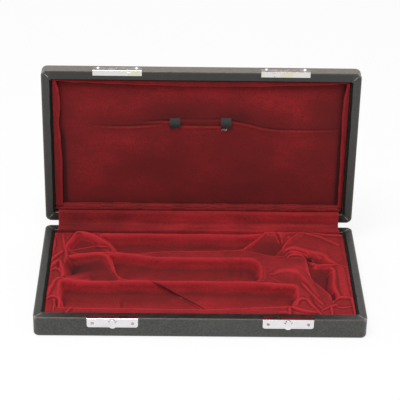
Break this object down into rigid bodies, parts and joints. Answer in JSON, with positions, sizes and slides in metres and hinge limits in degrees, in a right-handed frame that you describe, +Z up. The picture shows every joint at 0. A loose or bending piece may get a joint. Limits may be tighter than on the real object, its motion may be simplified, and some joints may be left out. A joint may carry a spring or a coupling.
{
  "type": "instrument case",
  "caption": "Small rigid instrument case, grained black covering over a wooden box, hinged lid, two spring latches, padded cloth lining with long channels",
  "frame": {"origin": "centre of the base's footprint on the floor, the lid open at rest", "axes": "+X along the case to the right, +Y from the front to the hinges, +Z up"},
  "size_m": [0.32, 0.1932, 0.1996],
  "materials": {
    "leatherette": "fine grained black leathercloth, slightly glossy on folds",
    "velvet": "crimson short-pile velvet, paler on crests",
    "nickel": "bright nickel plate with fine polishing marks",
    "spring_steel": "blued strip",
    "elastic": "flat woven black elastic",
    "wood": "bare thin board",
    "card": "grey-brown pasteboard"
  },
  "bodies": {
    "base": {"base_bottom_panel": "wood", "base_front_wall": "wood", "base_back_wall": "wood", "base_left_wall": "wood", "base_right_wall": "wood", "base_bottom_cover": "leatherette", "base_wall_cover": "leatherette", "insert_board": "card", "front_rail": "wood", "rear_rail": "card", "rear_divider": "wood", "front_divider": "card", "left_end_block": "wood", "right_end_block": "wood", "base_lining": "velvet", "hinge_strip": "velvet", "hinge_base_rivets": "nickel", "latch_plate_left": "nickel", "latch_plate_right": "nickel", "latch_rivets_left": "nickel", "latch_rivets_right": "nickel", "latch_spring_left": "spring_steel", "latch_spring_right": "spring_steel", "hinge_base_leaf_left": "nickel", "hinge_base_leaf_right": "nickel", "hinge_pin_left": "nickel", "hinge_pin_right": "nickel"},
    "lid": {"lid_top_panel": "wood", "lid_front_wall": "wood", "lid_back_wall": "wood", "lid_left_wall": "wood", "lid_right_wall": "wood", "lid_top_cover": "leatherette", "lid_wall_cover": "leatherette", "lid_board": "card", "lid_pad": "velvet", "lid_strip_left": "velvet", "lid_strip_right": "velvet", "lid_strip_front": "velvet", "lid_strip_back": "velvet", "elastic_loop_left": "elastic", "elastic_loop_right": "elastic", "hinge_lid_rivets": "nickel", "catch_plate_left": "nickel", "catch_plate_right": "nickel", "latch_hook_left": "nickel", "latch_hook_right": "nickel", "catch_rivets_left": "nickel", "catch_rivets_right": "nickel", "hinge_lid_leaf_left": "nickel", "hinge_lid_leaf_right": "nickel"},
    "left_slide": {"latch_slide_left": "nickel", "latch_knob_left": "nickel"},
    "right_slide": {"latch_slide_right": "nickel", "latch_knob_right": "nickel"}
  },
  "joints": [
    {"name": "lid_hinge", "type": "hinge", "parent": "base", "child": "lid", "pos_m": [0, 0.0895, 0.0215], "axis": [1, 0, 0], "range_deg": [0, 90], "deforming": ["hinge_strip"]},
    {"name": "left_slide", "type": "slide", "parent": "base", "child": "left_slide", "axis": [-1, 0, 0], "range_m": [0, 0.003], "stiffness_N_per_m": 200, "springref_m": -0.002, "deforming": ["latch_spring_left"]},
    {"name": "right_slide", "type": "slide", "parent": "base", "child": "right_slide", "axis": [1, 0, 0], "range_m": [0, 0.003], "stiffness_N_per_m": 200, "springref_m": -0.002, "deforming": ["latch_spring_right"]}
  ]
}
